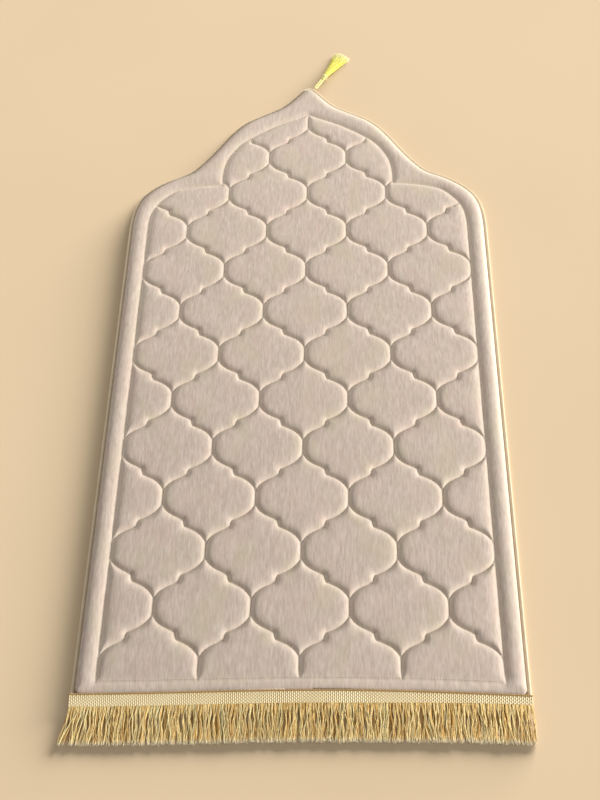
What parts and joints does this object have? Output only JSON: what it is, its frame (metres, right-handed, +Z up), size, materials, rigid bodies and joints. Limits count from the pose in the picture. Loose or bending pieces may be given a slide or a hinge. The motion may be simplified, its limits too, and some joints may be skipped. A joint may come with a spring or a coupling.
{
  "type": "prayer rug",
  "caption": "Flat padded prayer rug with an ogee dome end, a pressed trellis, a bound edge, a fringed lower edge and a tassel on the dome's tip.",
  "frame": {"origin": "on the flat underside, in the middle of the padded body's width and length", "axes": "+Y from the fringed edge to the dome's tip, +Z up from the floor, +X to the right seen from above"},
  "size_m": [0.6756, 1.3617, 0.012],
  "materials": {
    "velvet": "short beige velvet pile, matt with a soft sheen",
    "edge_tape": "cream woven edge tape",
    "gold_yarn": "satin gold yarn",
    "tassel_yarn": "satin bright yellow yarn"
  },
  "bodies": {
    "root": {"pad": "velvet", "edge_binding": "edge_tape", "fringe": "gold_yarn", "tassel": "tassel_yarn", "tassel_band": "tassel_yarn", "tassel_loop": "tassel_yarn"}
  },
  "joints": []
}
